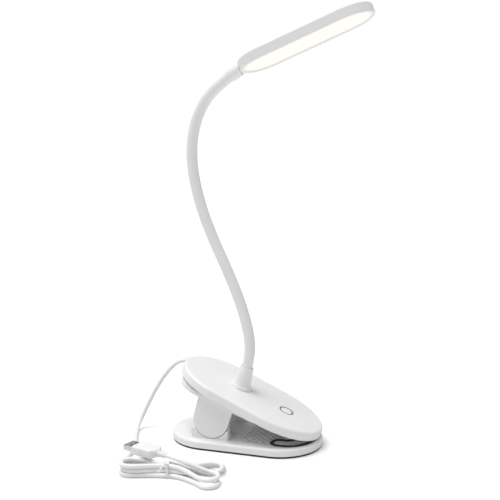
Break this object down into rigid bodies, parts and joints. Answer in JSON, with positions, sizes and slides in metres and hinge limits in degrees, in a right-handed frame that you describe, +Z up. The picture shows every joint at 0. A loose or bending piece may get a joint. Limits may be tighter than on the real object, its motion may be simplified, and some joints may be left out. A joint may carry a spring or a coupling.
{
  "type": "clip-on reading lamp",
  "caption": "Clip-on reading lamp with a sprung plate clip, tilted arm with touch ring, gooseneck and slim oval light head, with a folded USB lead.",
  "frame": {"origin": "middle of the face of the lower jaw's foot that the lamp stands on", "axes": "+Z up; +X from the squeeze end of the clip to its jaw tip; the neck and head lie in the plane y = 0"},
  "size_m": [0.2101, 0.1553, 0.3715],
  "materials": {
    "white_plastic": "satin moulded ABS, fine texture",
    "inner_plastic": "plain moulded",
    "neck_sleeve": "smooth matte silicone sleeve",
    "lead_jacket": "satin flexible PVC",
    "dark_rubber": "matte",
    "grey_ring": "satin",
    "hardware_steel": "zinc plated",
    "usb_steel": "nickel plated, drawn",
    "board_green": "solder mask",
    "copper": "plated",
    "cell_foil": "embossed foil pouch",
    "clear_plastic": "polished acrylic",
    "opal_diffuser": "opal acrylic, lit warm white"
  },
  "bodies": {
    "base": {"base_shell": "white_plastic", "base_bottom_cover": "inner_plastic", "rubber_foot": "dark_rubber", "lower_jaw_pad": "dark_rubber", "base_screw_1": "hardware_steel", "base_screw_2": "hardware_steel", "base_screw_3": "hardware_steel", "base_screw_4": "hardware_steel", "clip_axle": "hardware_steel", "spring_spool": "inner_plastic", "clip_spring": "hardware_steel", "cord_tube": "lead_jacket", "cord_tail": "lead_jacket", "cord_hank": "lead_jacket", "hank_tie": "lead_jacket", "usb_shell": "usb_steel", "usb_tongue": "inner_plastic", "usb_grip": "lead_jacket"},
    "arm": {"arm_cover": "white_plastic", "arm_base": "white_plastic", "arm_screw_1": "hardware_steel", "arm_screw_2": "hardware_steel", "arm_screw_3": "hardware_steel", "upper_jaw_pad": "dark_rubber", "touch_ring": "grey_ring", "touch_disc": "white_plastic", "touch_electrode": "copper", "touch_spring": "copper", "battery_cell": "cell_foil", "control_board": "board_green", "cable_bushing": "lead_jacket", "neck_socket": "white_plastic", "neck_stud": "hardware_steel", "neck_nut": "hardware_steel", "neck_segment_1": "neck_sleeve"},
    "neck_low": {"neck_segment_2": "neck_sleeve"},
    "neck_mid": {"neck_segment_3": "neck_sleeve"},
    "neck_high": {"neck_segment_4": "neck_sleeve"},
    "head": {"neck_segment_5": "neck_sleeve", "neck_collar": "white_plastic", "neck_ferrule": "hardware_steel", "head_frame": "white_plastic", "head_cover": "white_plastic", "diffuser": "opal_diffuser", "light_guide": "clear_plastic", "reflector_sheet": "white_plastic", "led_strip_near": "board_green", "led_strip_far": "board_green"}
  },
  "joints": [
    {"name": "clip_jaw", "type": "hinge", "parent": "base", "child": "arm", "pos_m": [-0.023, 0, 0.0246], "axis": [0, -1, 0], "range_deg": [0, 30], "stiffness_Nm_per_rad": 0.8, "springref_deg": -51.57, "deforming": ["clip_spring", "cord_tube"]},
    {"name": "neck_root_bend", "type": "hinge", "parent": "arm", "child": "neck_low", "pos_m": [-0.00251, 0, 0.11179], "axis": [0, 1, 0], "range_deg": [-30, 30]},
    {"name": "neck_sway", "type": "hinge", "parent": "neck_low", "child": "neck_mid", "pos_m": [-0.02435, 0, 0.16421], "axis": [0.903, 0, 0.4297], "range_deg": [-30, 30]},
    {"name": "neck_bend", "type": "hinge", "parent": "neck_mid", "child": "neck_high", "pos_m": [-0.04563, 0, 0.22001], "axis": [0, 1, 0], "range_deg": [-35, 35]},
    {"name": "head_bend", "type": "hinge", "parent": "neck_high", "child": "head", "pos_m": [-0.04626, 0, 0.27616], "axis": [0, 1, 0], "range_deg": [-35, 35]}
  ]
}
